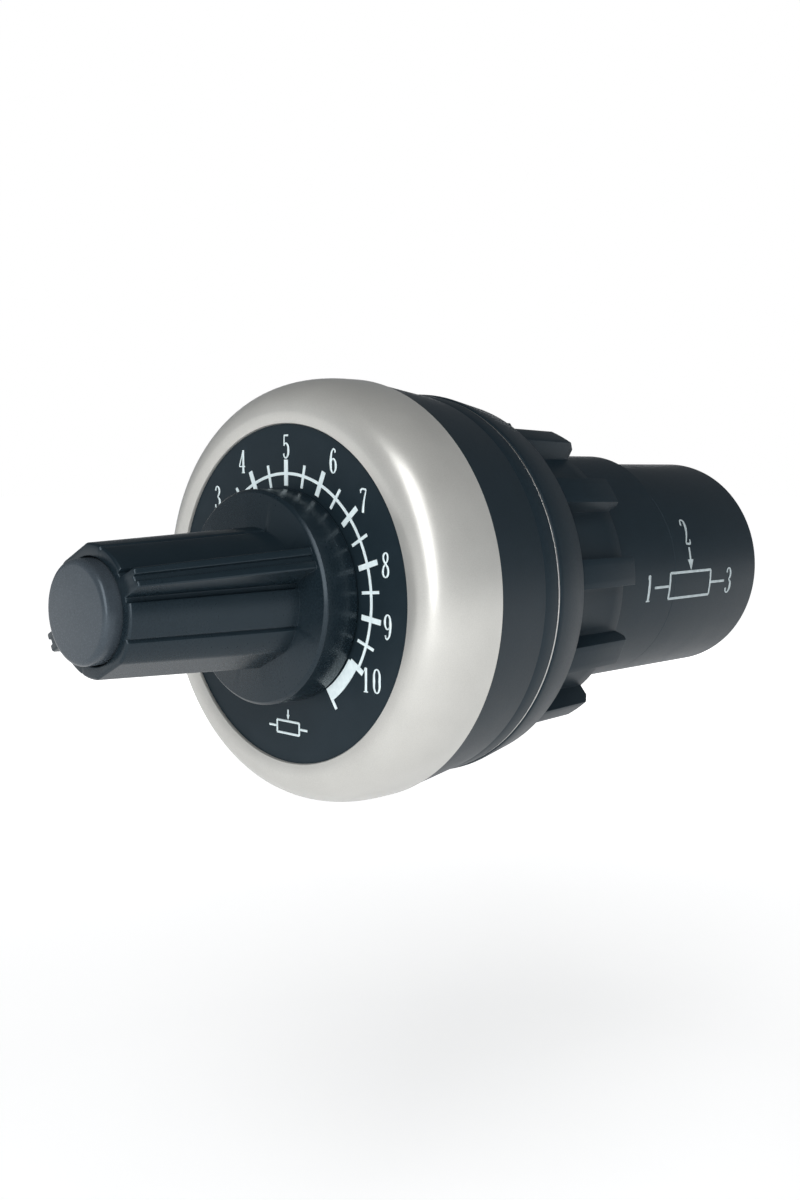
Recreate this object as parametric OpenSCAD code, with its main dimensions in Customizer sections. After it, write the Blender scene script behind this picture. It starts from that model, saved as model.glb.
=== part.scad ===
// Rotary potentiometer for a 22 mm panel hole, with a bezel, a dial and a knob.
// The origin is on the spindle axis in the plane where the panel seats.
// The knob points to -Y and the terminals to +Y. Clock angles are seen from the knob side.

/* [Head] */
// Diameter of the silver bezel
bezel_d = 29.5; // [29.1:0.1:32]
// Wall of the bezel's skirt
bezel_wall = 0.5; // [0.4:0.05:0.7]
// Width of the bezel's flat inner lip
bezel_lip_w = 0.75; // [0.5:0.05:1.2]
// Height of the lip above the dial
bezel_lip_rise = 0.3; // [0.2:0.05:0.6]
// Length of the bezel's rounded shoulder
bezel_round = 3.7; // [2.5:0.1:4.5]
// Width of the bezel seen from the front
bezel_face_w = 3.2; // [2.9:0.05:4]
// Distance from the bezel's rear edge to the dial face
dial_depth = 5.3; // [4.8:0.1:7]
// Thickness of the dial plate
dial_t = 1.0; // [0.6:0.1:1.4]
// How far the dial plate reaches under the lip
dial_tuck = 1.05; // [0.6:0.05:1.3]
// Distance from the bezel's rear edge to the panel
head_len = 6.5; // [5:0.1:9]
// How far the head lies inside the bezel's skirt line
head_step = 0.05; // [0.02:0.01:0.2]
// How far the head tapers in towards the panel
head_taper = 0.73; // [0.4:0.01:0.75]
// Wall of the head
head_wall = 2.0; // [1.4:0.1:2.4]
// Thickness of the panel gasket
gasket_t = 1.2; // [0.8:0.1:1.6]
// Width of the panel gasket's ring
gasket_w = 1.95; // [1.5:0.05:2]

/* [Neck] */
// Diameter of the spigot that centres the panel hole
spigot_d = 22.0; // [21.6:0.1:22.2]
// Length of the spigot beyond the panel seat
spigot_len = 2.6; // [1.6:0.1:3]
// Depth of the shoulder below the gasket's face
shoulder_drop = 0.25; // [0.1:0.05:0.4]
// Diameter over the neck's thread
thread_d = 19.8; // [19.5:0.1:20]
// Pitch of the thread
thread_pitch = 1.5; // [1:0.25:2]
// Depth of the thread
thread_depth = 0.14; // [0.08:0.02:0.14]
// Length of the thread
thread_len = 9.6; // [8:0.1:12]
// Diameter over the swelling on top of the plain sleeve
sleeve_d = 19.2; // [19:0.1:19.4]
// Clock angle where the swelling fades into the sleeve
swell_deg = 45; // [30:1:60]
// Length of the plain sleeve
sleeve_len = 9.75; // [9:0.05:12]
// Wall of the neck at the swelling
neck_wall = 1.25; // [1:0.05:1.3]
// Thickness of the web that carries the potentiometer
web_t = 2.0; // [1.5:0.1:2.5]
// Distance from the end of the thread to the web
web_set = 1.3; // [0.8:0.1:2]

/* [Nut] */
// How far the nut's flange tapers in towards its back
nut_taper = 0.64; // [0.3:0.02:1]
// Thickness of the nut's flange
nut_flange_t = 3.5; // [3:0.1:4]
// Diameter of the nut's hub
nut_hub_d = 21.4; // [21.2:0.1:22]
// Length of the nut
nut_len = 11.8; // [10:0.1:11.8]
// Number of lugs round the hub
lug_count = 12; // [8:1:16]
// Width of a lug, in degrees
lug_deg = 10; // [6:1:14]
// Clock angle where the first lug starts
lug_first = 20; // [0:1:29]
// Diameter over the lugs at the flange
lug_d = 24.8; // [23.5:0.1:25.5]
// Diameter over the lugs at their free ends
lug_end_d = 24.2; // [23:0.1:24.4]
// Chamfer at the free end of a lug
lug_chamfer = 0.3; // [0.1:0.05:0.5]
// Depth of the recess that clears the spigot
nut_recess = 2.45; // [2.3:0.05:2.6]
// How far the thrust washer lies inside the flange's rim
thrust_in = 0.25; // [0.1:0.05:0.5]
// Thickness of the thrust washer
thrust_t = 0.4; // [0.3:0.05:0.5]

/* [Barrel] */
// Diameter of the barrel
barrel_d = 17.9; // [17.5:0.1:18.6]
// Length of the barrel behind the sleeve
barrel_len = 12.75; // [12.5:0.05:15]
// Wall of the barrel
barrel_wall = 1.2; // [1:0.05:1.3]
// Length of the plug that sits in the sleeve
plug_len = 4.0; // [3:0.1:4.5]
// Wall of the plug
plug_wall = 0.8; // [0.6:0.05:0.8]
// Rounding of the barrel's rear rim
rim_round = 0.4; // [0.2:0.05:0.6]

/* [Knob] */
// Diameter of the knob's collar
collar_d = 14.4; // [13:0.1:14.6]
// Height of the collar
collar_h = 2.8; // [2:0.1:4]
// Chamfer round the collar's rim
collar_edge = 0.2; // [0.1:0.05:0.4]
// Gap between the collar and the dial
collar_gap = 0.2; // [0.15:0.05:0.5]
// Diameter of the grip at the collar
grip_base_d = 9.4; // [8.8:0.1:9.8]
// Diameter of the grip at its tip
grip_tip_d = 8.3; // [8.1:0.1:8.8]
// Length of the grip
grip_len = 12.5; // [11:0.1:16]
// Chamfer at the tip of the grip
grip_chamfer = 0.15; // [0.1:0.05:0.3]
// Width of a finger rib at the tip
rib_w = 1.25; // [1:0.05:1.5]
// Width of a finger rib at the collar
rib_base_w = 1.5; // [1:0.05:1.8]
// Reach of a finger rib from the axis at the tip
rib_tip_r = 5.35; // [5:0.05:5.6]
// Reach of a finger rib from the axis at the collar
rib_base_r = 6.75; // [6:0.05:7]
// Width of the line groove along a rib
line_groove_w = 0.4; // [0.3:0.05:0.6]
// Depth of the line groove along a rib
line_groove_t = 0.25; // [0.15:0.05:0.35]
// Width of the groove beside a rib
side_groove_w = 0.6; // [0.5:0.05:0.7]
// Depth of the groove beside a rib
side_groove_t = 0.3; // [0.15:0.05:0.4]
// Angle from a rib to the groove beside it
side_groove_at = 12; // [11.5:0.5:12.5]
// Angle from a rib to the thin groove in the body
thin_groove_at = 47; // [35:1:55]
// Width of the thin groove
thin_groove_w = 0.3; // [0.2:0.05:0.4]
// Depth of the thin groove
thin_groove_t = 0.2; // [0.1:0.05:0.3]
// Depth of the two flats between the ribs
flat_t = 0.25; // [0.1:0.05:0.3]
// Clock angle of the pointing rib as it stands
pointer_at = -116; // [-150:0.5:-100]
// Diameter of the cap
cap_d = 6.5; // [6:0.1:6.6]
// How far the cap stands out of the grip
cap_rise = 1.1; // [0.6:0.05:1.3]
// Rounding of the cap's rim
cap_round = 0.35; // [0.2:0.05:0.5]
// Depth of the recess round the cap
cap_sink = 0.7; // [0.5:0.05:0.8]
// Width of the gap round the cap
cap_ring = 0.25; // [0.2:0.05:0.3]
// Thickness of the pointer line's inlay
pointer_t = 0.15; // [0.1:0.01:0.2]

/* [Scale] */
// Clock angle of the last number
scale_end = 125; // [110:1:130]
// Number of divisions from the first number to the last
scale_div = 10; // [5:1:10]
// Clock angle of the end of travel
travel_end = 150; // [140:1:152]
// Distance from the collar to the scale's arc
arc_set = 1.02; // [0.9:0.02:1.2]
// Width of the printed lines
line_w = 0.2; // [0.12:0.02:0.3]
// Width of the long marks
mark_w = 0.34; // [0.2:0.02:0.44]
// Distance from the collar to the marks
mark_set = 0.2; // [0.15:0.05:0.4]
// Length of the long marks
mark_len = 1.75; // [1.4:0.05:2]
// Thickness of the print
print_t = 0.04; // [0.03:0.01:0.08]

/* [Spindle] */
// Diameter of the shaft
shaft_d = 6.0; // [5.8:0.05:6]
// Diameter of the shaft inside the grip
shaft_tip_d = 4.0; // [3.6:0.05:4.2]
// Depth of the flat on the shaft's tip
shaft_flat = 0.45; // [0.3:0.05:0.7]
// Wall of the knob's brass insert
insert_wall = 0.75; // [0.6:0.05:0.8]
// Diameter of the knob screw
knob_screw_d = 2.0; // [1.8:0.1:2.2]
// Diameter of the knob screw's head
knob_screw_head_d = 3.6; // [3.2:0.1:3.8]
// Height of the knob screw's head
knob_screw_head_h = 1.0; // [0.8:0.05:1.2]
// Clearance round every shaft that turns
run_gap = 0.05; // [0.03:0.01:0.08]
// Clearance between pieces that stay together
seat_gap = 0.05; // [0.02:0.01:0.08]

/* [Potentiometer] */
// Diameter of the threaded bushing
bushing_d = 7.0; // [6.8:0.1:7.4]
// Length of the bushing in front of the web
bushing_len = 4.5; // [4:0.1:6]
// Width of the bushing nut across its flats
bushing_nut_w = 10.0; // [9.5:0.1:11]
// Thickness of the bushing nut
bushing_nut_t = 2.0; // [1.6:0.1:2.4]
// Thickness of the toothed lock washer
lock_washer_t = 0.4; // [0.3:0.05:0.6]
// Clearance of the case inside the barrel's plug
case_gap = 0.1; // [0.05:0.05:0.4]
// Length of the case behind its front plate
case_len = 6.3; // [6:0.1:6.6]
// Wall of the case
case_wall = 0.4; // [0.3:0.05:0.5]
// Thickness of the front plate
plate_t = 0.8; // [0.6:0.05:1]
// Diameter of the wiper carrier
carrier_d = 12.0; // [11:0.1:12.2]
// Thickness of the wiper carrier
carrier_t = 1.4; // [1.2:0.1:1.6]
// Reach of the stop arm beyond the carrier
stop_reach = 0.7; // [0.5:0.05:0.8]
// Thickness of the element's base
base_t = 1.0; // [0.8:0.1:1.2]
// Thickness of the resistive track
track_t = 0.1; // [0.05:0.01:0.15]
// Radius of the middle of the track
track_r = 5.5; // [5.2:0.05:5.6]
// Width of the track
track_w = 1.4; // [1:0.1:1.6]
// Radius of the middle of the collector ring
ring_r = 2.8; // [2.6:0.05:2.9]
// Width of the collector ring
ring_w = 1.8; // [1.6:0.05:2]
// Thickness of the wiper's spring sheet
spring_t = 0.2; // [0.15:0.01:0.25]

/* [Terminals] */
// Distance of a terminal screw from the axis
terminal_r = 4.6; // [4.5:0.05:4.7]
// Diameter of a terminal screw
screw_d = 2.9; // [2.5:0.1:3]
// Diameter of a terminal screw's head
screw_head_d = 5.2; // [4.8:0.1:5.4]
// Height of a terminal screw's head
screw_head_h = 1.8; // [1.5:0.1:2]
// Pitch of a terminal screw
screw_pitch = 0.5; // [0.4:0.05:0.6]
// Thickness of a terminal plate
terminal_t = 0.8; // [0.6:0.05:1]
// Thickness of a clamp washer
clamp_t = 0.8; // [0.6:0.05:1]
// Width of a terminal plate and its washer
terminal_w = 4.8; // [4.4:0.05:4.9]
// Length of a terminal plate towards the axis
terminal_in = 1.9; // [1.7:0.05:2]
// Length of a terminal plate away from the axis
terminal_out = 2.4; // [2.2:0.05:2.5]
// Thickness of the terminal block's floor
block_floor = 3.1; // [2.9:0.1:3.3]
// Thickness of the walls between the terminals
bay_wall = 1.2; // [0.9:0.05:1.3]
// Depth of the walls below the barrel's rim
bay_drop = 0.8; // [0.5:0.1:1.2]

/* [Hidden] */
$fn = 96;
eps = 0.01;

// Places along the axis, from the panel seat at 0
y_bezel_rear = -head_len;
y_dial = y_bezel_rear - dial_depth;
y_head_front = y_dial + dial_t;
y_bezel_face = y_dial - bezel_lip_rise;
y_collar_rear = y_dial - collar_gap;
y_collar_front = y_collar_rear - collar_h;
y_grip_tip = y_collar_front - grip_len;
y_cap = y_grip_tip - cap_rise;
y_cap_floor = y_grip_tip + cap_sink;
y_thread_end = spigot_len + thread_len;
y_web = y_thread_end + web_set;
y_case_front = y_web + web_t;
y_case = y_case_front + plate_t;
y_case_rear = y_case + case_len;
y_sleeve_end = y_thread_end + sleeve_len;
y_barrel_end = y_sleeve_end + barrel_len;
y_nut = thrust_t;
y_nut_flange = y_nut + nut_flange_t;
y_nut_end = y_nut + nut_len;

// Radii that follow from the sizes above
bezel_r = bezel_d / 2;
bezel_bore_r = bezel_r - bezel_wall;
dial_r = bezel_r - bezel_face_w;
head_rear_r = bezel_r - head_step;
dial_edge_r = dial_r + dial_tuck;
collar_r = collar_d / 2;
line_drop = 0.3;
grip_tip_r = grip_tip_d / 2;
grip_base_r = grip_base_d / 2;
grip_sunk = 0.4;
cap_r = cap_d / 2;
arc_r = collar_r + arc_set;
mark_in = collar_r + mark_set;
mark_out = mark_in + mark_len;
head_front_r = bezel_bore_r - seat_gap;
gasket_r = head_rear_r - head_taper;
nut_flange_r = gasket_r;
gasket_bore_r = gasket_r - gasket_w;
thread_r = thread_d / 2;
sleeve_r = sleeve_d / 2;
neck_bore_r = sleeve_r - neck_wall;
nut_bore_r = thread_r + run_gap;
bearing_flange_r = neck_bore_r + 1.2;
bearing_t = 1.0;
bearing_plug = 2.0;
shaft_r = shaft_d / 2;
shaft_bore_r = shaft_r + run_gap;
shaft_tip_r = shaft_tip_d / 2;
insert_r = shaft_tip_r + insert_wall;
barrel_r = barrel_d / 2;
barrel_bore_r = barrel_r - barrel_wall;

// The swelling's circle runs through the sleeve's top and through the points where it fades
swell_r = (sleeve_r * sleeve_r + barrel_r * barrel_r - 2 * sleeve_r * barrel_r * cos(swell_deg))
    / (2 * (sleeve_r - barrel_r * cos(swell_deg)));
plug_r = neck_bore_r - seat_gap;
plug_bore_r = plug_r - plug_wall;
case_r = plug_bore_r - case_gap;
case_bore_r = case_r - case_wall;
tab_w = 2;
tab_in = 6;
tab_out = 7;
tab_rise = 1.6;

// The shaft and the pieces on it
y_shaft_step = y_collar_rear - 0.5;
y_insert_front = y_grip_tip + 3.2;
y_insert_rear = y_collar_front + 0.8;
y_shaft_tip = y_insert_front + 0.2;
y_screw_seat = y_insert_front - 0.6;
y_cap_recess = y_screw_seat - knob_screw_head_h - 0.2;
cap_plug_r = knob_screw_head_d / 2 + 0.4;
y_carrier = y_case + 0.6;
y_shaft_end = y_carrier + carrier_t + 1.0;
y_clip = y_web - bushing_len - 1.0;
clip_t = 0.6;
clip_groove_r = shaft_r - 0.5;
knob_screw_reach = 4.0;

// The electrical element
y_base = y_case_rear - case_wall - base_t - 0.8;
y_track = y_base - track_t;
stop_deg = 29;
arm_at = 30;
arm_w = 0.4;
arm_set = 3;
foot_deg = 14;
arm_in_r = shaft_r + 0.1;
contact_gap = 0.03;
stop_lug_r = carrier_d / 2 + 0.2;

// The terminals
bay_angles = [60, 180, 300];
y_block = y_case_rear + 0.7;
y_floor = y_block + block_floor;
y_terminal = y_floor + terminal_t;
y_clamp = y_terminal + clamp_t;
y_screw_end = y_block + 1.1;
y_walls = y_barrel_end - bay_drop;
block_r = barrel_bore_r - seat_gap;
pin_r = 0.5;
tongue_w = 1.4;
screw_well_r = screw_d / 2 + 0.15;
pin_at = terminal_r - screw_well_r - pin_r - 0.35;

// A circle's arc as points, from angle a0 to a1
function arc_points(cr, cy, rr, ry, a0, a1, steps) =
    [for (i = [0:steps]) let (a = a0 + (a1 - a0) * i / steps) [cr + rr * cos(a), cy - ry * sin(a)]];

// A body turned about the spindle axis, from [radius, place] points
module turned(points) {
    rotate([-90, 0, 0]) rotate_extrude() polygon(points);
}

// A sector of a turned body between two clock angles
module turned_sector(points, from, to) {
    rotate([0, from - 90, 0]) rotate([-90, 0, 0]) rotate_extrude(angle = to - from) polygon(points);
}

// A rod along the axis between two places
module rod(r, from, to) {
    translate([0, from, 0]) rotate([-90, 0, 0]) cylinder(r = r, h = to - from);
}

// A tube along the axis between two places
module tube(outer, inner, from, to) {
    difference() {
        rod(outer, from, to);
        rod(inner, from - eps, to + eps);
    }
}

// Children made at the top are turned to a clock angle
module clock(angle) {
    rotate([0, angle, 0]) children();
}

// A block at the top, from radius z0 to z1, w wide, between two places
module radial_block(w, z0, z1, from, to) {
    translate([-w / 2, from, z0]) cube([w, to - from, z1 - z0]);
}

module bezel_ring() {
    shoulder_r = dial_r + bezel_lip_w;
    color("silver") turned(concat(
        [[bezel_bore_r, y_bezel_rear], [bezel_r, y_bezel_rear]],
        arc_points(shoulder_r, y_bezel_face + bezel_round, bezel_r - shoulder_r, bezel_round, 0, 90, 14),
        [[dial_r + bezel_lip_w * 0.45, y_bezel_face + bezel_lip_rise * 0.2],
         [dial_r, y_bezel_face + bezel_lip_rise * 0.65], [dial_r, y_dial],
         [dial_edge_r + seat_gap, y_dial], [dial_edge_r + seat_gap, y_head_front],
         [bezel_bore_r, y_head_front]]));
}

module dial_plate() {
    color("#16171a") tube(dial_edge_r, shaft_r + 0.6, y_dial, y_head_front);
}

// One printed mark at a clock angle
module scale_mark(angle, w, r0, r1) {
    clock(angle) radial_block(w, r0, r1, y_dial - print_t, y_dial);
}

module scale_marks() {
    step = 2 * scale_end / scale_div;
    band_in = mark_in - 0.2;
    band_out = arc_r - line_w;
    color("white") union() {
        turned_sector([[arc_r - line_w / 2, y_dial - print_t], [arc_r + line_w / 2, y_dial - print_t],
            [arc_r + line_w / 2, y_dial], [arc_r - line_w / 2, y_dial]], -scale_end, scale_end);
        for (i = [0:scale_div]) scale_mark(-scale_end + i * step, mark_w, mark_in, mark_out);
        for (i = [1:scale_div]) scale_mark(-scale_end + (i - 0.5) * step, line_w, mark_in, mark_out - 0.2);
        for (side = [-1, 1]) {
            scale_mark(side * (travel_end - 1), mark_w, band_in, arc_r + 0.3);
            turned_sector([[band_in, y_dial - print_t], [band_out, y_dial - print_t],
                [band_out, y_dial], [band_in, y_dial]],
                side > 0 ? scale_end : -travel_end + 1, side > 0 ? travel_end - 1 : -scale_end);
        }
    }
}

module head_housing() {
    thread_count = floor((thread_len - 1.2) / thread_pitch);
    core_r = gasket_r - head_wall;
    color("#1b1d20") difference() {
        union() {
            turned([[0, y_head_front], [head_front_r, y_head_front], [head_front_r, y_bezel_rear],
                [head_rear_r, y_bezel_rear], [gasket_r, -gasket_t],
                [gasket_bore_r - seat_gap, -gasket_t], [gasket_bore_r - seat_gap, -shoulder_drop],
                [spigot_d / 2, -shoulder_drop], [spigot_d / 2, spigot_len], [0, spigot_len]]);
            rod(thread_r, spigot_len - eps, y_thread_end);
            rod(barrel_r, y_thread_end - eps, y_sleeve_end);
            translate([0, 0, sleeve_r - swell_r]) rod(swell_r, y_thread_end - eps, y_sleeve_end);
        }
        for (i = [0:thread_count - 1]) translate([0, spigot_len + 0.8 + i * thread_pitch, 0])
            turned([[thread_r - thread_depth, 0.25], [thread_r + eps, 0],
                [thread_r + eps, thread_pitch * 0.6], [thread_r - thread_depth, thread_pitch * 0.6 - 0.25]]);
        turned([[0, y_head_front + head_wall], [core_r, y_head_front + head_wall],
            [core_r, -gasket_t - head_wall],
            [neck_bore_r, -gasket_t - head_wall + (core_r - neck_bore_r) * 0.4],
            [neck_bore_r, y_web], [0, y_web]]);
        rod(bearing_flange_r + seat_gap, y_head_front - eps, y_head_front + bearing_t);
        rod(neck_bore_r, y_head_front, y_head_front + head_wall + eps);
        rod(neck_bore_r, y_case_front, y_sleeve_end + eps);
        rod(bushing_d / 2 + seat_gap, y_web - eps, y_case_front + eps);
        radial_block(tab_w + 0.1, tab_in - 0.1, tab_out + 0.1, y_web - eps, y_case_front + eps);
    }
}

module panel_gasket() {
    color("#26282b") tube(gasket_r, gasket_bore_r, -gasket_t, 0);
}

module front_bearing() {
    color("ivory") difference() {
        union() {
            rod(bearing_flange_r, y_head_front, y_head_front + bearing_t);
            rod(neck_bore_r - seat_gap, y_head_front, y_head_front + bearing_t + bearing_plug);
        }
        rod(shaft_bore_r, y_head_front - eps, y_head_front + bearing_t + bearing_plug + eps);
    }
}

// A bar along the grip at the top, from [half width, low, high] at the tip to the same at the collar.
// It reaches past the tip and into the collar by two lengths
module grip_bar(tip, base, before, after) {
    p = tip - (base - tip) * (before / grip_len);
    q = base + (base - tip) * (after / grip_len);
    y0 = y_grip_tip - before;
    y1 = y_collar_front + after;
    polyhedron([
        [-p[0], y0, p[1]], [p[0], y0, p[1]], [p[0], y0, p[2]], [-p[0], y0, p[2]],
        [-q[0], y1, q[1]], [q[0], y1, q[1]], [q[0], y1, q[2]], [-q[0], y1, q[2]]
    ], [[3, 2, 1, 0], [4, 5, 6, 7], [1, 5, 4, 0], [2, 6, 5, 1], [3, 7, 6, 2], [0, 4, 7, 3]]);
}

// The cut of a groove or a flat in the grip's body
module body_cut(w, depth) {
    grip_bar([w / 2, grip_tip_r - depth, grip_tip_r + 1], [w / 2, grip_base_r - depth, grip_base_r + 1],
        1, grip_sunk * 2);
}

// A layer in the line groove along a rib, between two depths
module line_bar(from, to, before, after) {
    half_w = line_groove_w / 2;
    grip_bar([half_w, rib_tip_r - from, rib_tip_r - to], [half_w, rib_base_r - from, rib_base_r - to],
        before, after);
}

module finger_rib() {
    difference() {
        grip_bar([rib_w / 2, grip_tip_r - 0.5, rib_tip_r], [rib_base_w / 2, grip_base_r - 0.5, rib_base_r],
            0, grip_sunk);
        line_bar(line_groove_t, -1, 1, grip_sunk * 2);
    }
}

module collar() {
    turned([[0, y_collar_front], [collar_r - collar_edge, y_collar_front],
        [collar_r, y_collar_front + collar_edge], [collar_r, y_collar_rear], [0, y_collar_rear]]);
}

// The pointer's cut in the face and the side of the collar, under the pointing rib
module collar_line(extra) {
    clock(pointer_at) {
        radial_block(line_groove_w, rib_base_r - line_groove_t, collar_r + extra,
            y_collar_front - extra, y_collar_front + pointer_t);
        radial_block(line_groove_w, collar_r - pointer_t, collar_r + extra,
            y_collar_front - extra, y_collar_rear - line_drop);
    }
}

module knob() {
    well_r = cap_r + cap_ring;
    color("#202226") difference() {
        union() {
            difference() {
                turned([[0, y_cap_floor], [well_r, y_cap_floor], [well_r, y_grip_tip],
                    [grip_tip_r - grip_chamfer, y_grip_tip], [grip_tip_r, y_grip_tip + grip_chamfer],
                    [grip_base_r, y_collar_front + grip_sunk], [0, y_collar_front + grip_sunk]]);
                for (a = [pointer_at, pointer_at + 180]) clock(a) {
                    for (side = [-1, 1]) {
                        clock(side * side_groove_at) body_cut(side_groove_w, side_groove_t);
                        clock(side * thin_groove_at) body_cut(thin_groove_w, thin_groove_t);
                    }
                    clock(90) body_cut(grip_base_r, flat_t);
                }
            }
            collar();
            for (a = [pointer_at, pointer_at + 180]) clock(a) finger_rib();
        }
        collar_line(eps);
        rod(insert_r, y_insert_front, y_collar_rear + eps);
        rod(shaft_r + 0.3, y_insert_rear + 0.4, y_collar_rear + eps);
        rod(knob_screw_d / 2 + 0.15, y_screw_seat - eps, y_insert_front + eps);
        rod(cap_plug_r, y_cap_floor - eps, y_screw_seat);
    }
}

module knob_cap() {
    inner_r = cap_r - cap_round;
    color("#4a4e53") turned(concat([[0, y_cap]],
        [for (i = [0:5]) let (a = 18 * i) [inner_r + cap_round * sin(a), y_cap + cap_round * (1 - cos(a))]],
        [[cap_r, y_cap_floor], [cap_plug_r - seat_gap, y_cap_floor], [cap_plug_r - seat_gap, y_cap_recess],
         [0, y_cap_recess]]));
}

module pointer_line() {
    color("white") union() {
        intersection() {
            collar_line(0);
            collar();
        }
        clock(pointer_at) line_bar(line_groove_t, line_groove_t - pointer_t, 0, 0);
    }
}

module knob_insert() {
    color("goldenrod") difference() {
        rod(insert_r, y_insert_front, y_insert_rear);
        shaft_tip(seat_gap, y_insert_front - eps);
    }
}

// The flatted tip of the shaft, larger all round by a gap
module shaft_tip(gap, from) {
    difference() {
        rod(shaft_tip_r + gap, from, y_shaft_step + eps);
        clock(pointer_at) radial_block(shaft_d, shaft_tip_r - shaft_flat + gap, shaft_d,
            from - 1, y_insert_rear + eps);
    }
}

module knob_screw() {
    color("silver") difference() {
        union() {
            rod(knob_screw_head_d / 2, y_screw_seat - knob_screw_head_h, y_screw_seat);
            rod(knob_screw_d / 2, y_screw_seat - eps, y_shaft_tip + knob_screw_reach);
        }
        for (a = [0, 90]) clock(a)
            radial_block(0.5, -1.1, 1.1, y_screw_seat - knob_screw_head_h - eps, y_screw_seat - 0.45);
    }
}

module shaft() {
    color("gainsboro") difference() {
        union() {
            shaft_tip(0, y_shaft_tip);
            rod(shaft_r, y_shaft_step, y_shaft_end);
        }
        rod(knob_screw_d / 2, y_shaft_tip - eps, y_shaft_tip + knob_screw_reach + 0.5);
        tube(shaft_r + 1, clip_groove_r, y_clip, y_clip + clip_t);
    }
}

module retaining_clip() {
    color("dimgray") difference() {
        tube(shaft_r + 1.2, clip_groove_r, y_clip, y_clip + clip_t);
        clock(90) radial_block(clip_groove_r * 1.7, 0, shaft_r + 2, y_clip - eps, y_clip + clip_t + eps);
    }
}

module thrust_washer() {
    color("lightgray") tube(nut_flange_r - thrust_in, gasket_bore_r, 0, thrust_t);
}

module mounting_nut() {
    hub_r = nut_hub_d / 2;
    lug_root = hub_r - 0.3;
    pitch_deg = 360 / lug_count;
    color("#1d1f22") difference() {
        union() {
            turned([[0, y_nut], [nut_flange_r, y_nut], [nut_flange_r, y_nut + 0.4],
                [nut_flange_r - nut_taper, y_nut_flange], [0, y_nut_flange]]);
            rod(hub_r, y_nut + 0.4, y_nut_end);
            for (i = [0:lug_count - 1]) turned_sector([[lug_root, y_nut_flange - 0.3],
                [lug_d / 2, y_nut_flange - 0.3], [lug_end_d / 2, y_nut_end - lug_chamfer],
                [lug_end_d / 2 - lug_chamfer, y_nut_end], [lug_root, y_nut_end]],
                lug_first + i * pitch_deg, lug_first + i * pitch_deg + lug_deg);
        }
        rod(nut_bore_r, y_nut - eps, y_nut_end + eps);
        rod(gasket_bore_r, y_nut - eps, y_nut + nut_recess);
    }
}

module bushing_plate() {
    color("darkkhaki") difference() {
        union() {
            rod(case_r, y_case_front, y_case);
            rod(bushing_d / 2, y_web - bushing_len, y_case_front + eps);
            radial_block(tab_w, tab_in, tab_out, y_case_front - tab_rise, y_case_front + eps);
        }
        rod(shaft_bore_r, y_web - bushing_len - eps, y_case + eps);
    }
}

module bushing_nut() {
    color("silver") difference() {
        translate([0, y_web - lock_washer_t - bushing_nut_t, 0]) rotate([-90, 0, 0])
            cylinder(d = bushing_nut_w / cos(30), h = bushing_nut_t, $fn = 6);
        rod(bushing_d / 2 + seat_gap, 0, y_web);
    }
}

module lock_washer() {
    tooth_count = 12;
    outer_r = bushing_nut_w / 2 + 0.3;
    color("gray") difference() {
        tube(outer_r, bushing_d / 2 + seat_gap, y_web - lock_washer_t, y_web);
        for (i = [0:tooth_count - 1]) clock(i * 360 / tooth_count)
            radial_block(0.7, outer_r - 0.9, outer_r + 1, y_web - lock_washer_t - eps, y_web + eps);
    }
}

module pot_case() {
    color("lightgray") difference() {
        union() {
            tube(case_r, case_bore_r, y_case, y_case_rear);
            rod(case_bore_r + eps, y_case_rear - case_wall, y_case_rear);
            turned_sector([[stop_lug_r, y_carrier - 0.1], [case_bore_r + 0.1, y_carrier - 0.1],
                [case_bore_r + 0.1, y_carrier + carrier_t + 0.1], [stop_lug_r, y_carrier + carrier_t + 0.1]],
                180 - stop_deg / 2, 180 + stop_deg / 2);
        }
        for (a = bay_angles) clock(a) translate([0, 0, pin_at])
            rod(pin_r + 0.4, y_case_rear - case_wall - eps, y_case_rear + eps);
    }
}

module wiper_carrier() {
    color("#2b2b30") difference() {
        union() {
            rod(carrier_d / 2, y_carrier, y_carrier + carrier_t);
            turned_sector([[carrier_d / 2 - 0.5, y_carrier], [carrier_d / 2 + stop_reach, y_carrier],
                [carrier_d / 2 + stop_reach, y_carrier + carrier_t],
                [carrier_d / 2 - 0.5, y_carrier + carrier_t]],
                pointer_at - stop_deg / 2, pointer_at + stop_deg / 2);
        }
        rod(shaft_r, y_carrier - eps, y_carrier + carrier_t + eps);
    }
}

// A flat sector of spring sheet between two radii and two clock angles
module spring_sheet(r0, r1, from, to, place) {
    turned_sector([[r0, place], [r1, place], [r1, place + spring_t], [r0, place + spring_t]], from, to);
}

// A wiper arm that rises from the sheet at one clock angle and ends in a foot on the element
module wiper_arm(r0, r1, at, foot) {
    y_foot = y_track - contact_gap - spring_t;
    clock(at) radial_block(arm_w, r0, r1, y_carrier + carrier_t, y_foot + spring_t);
    spring_sheet(r0, r1, min(at, at + foot), max(at, at + foot), y_foot);
}

module wiper_spring() {
    color("gold") union() {
        spring_sheet(arm_in_r, track_r + track_w / 4, pointer_at - arm_at, pointer_at + arm_at,
            y_carrier + carrier_t);
        wiper_arm(track_r - track_w / 4, track_r + track_w / 4, pointer_at + arm_at - arm_set, foot_deg);
        wiper_arm(arm_in_r, ring_r + ring_w / 2, pointer_at - arm_at + arm_set, -foot_deg);
    }
}

module element_base() {
    color("#6b3f22") difference() {
        rod(case_bore_r - seat_gap, y_base, y_base + base_t);
        for (a = bay_angles) clock(a) translate([0, 0, pin_at])
            rod(pin_r, y_base + 0.3, y_base + base_t + eps);
    }
}

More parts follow.
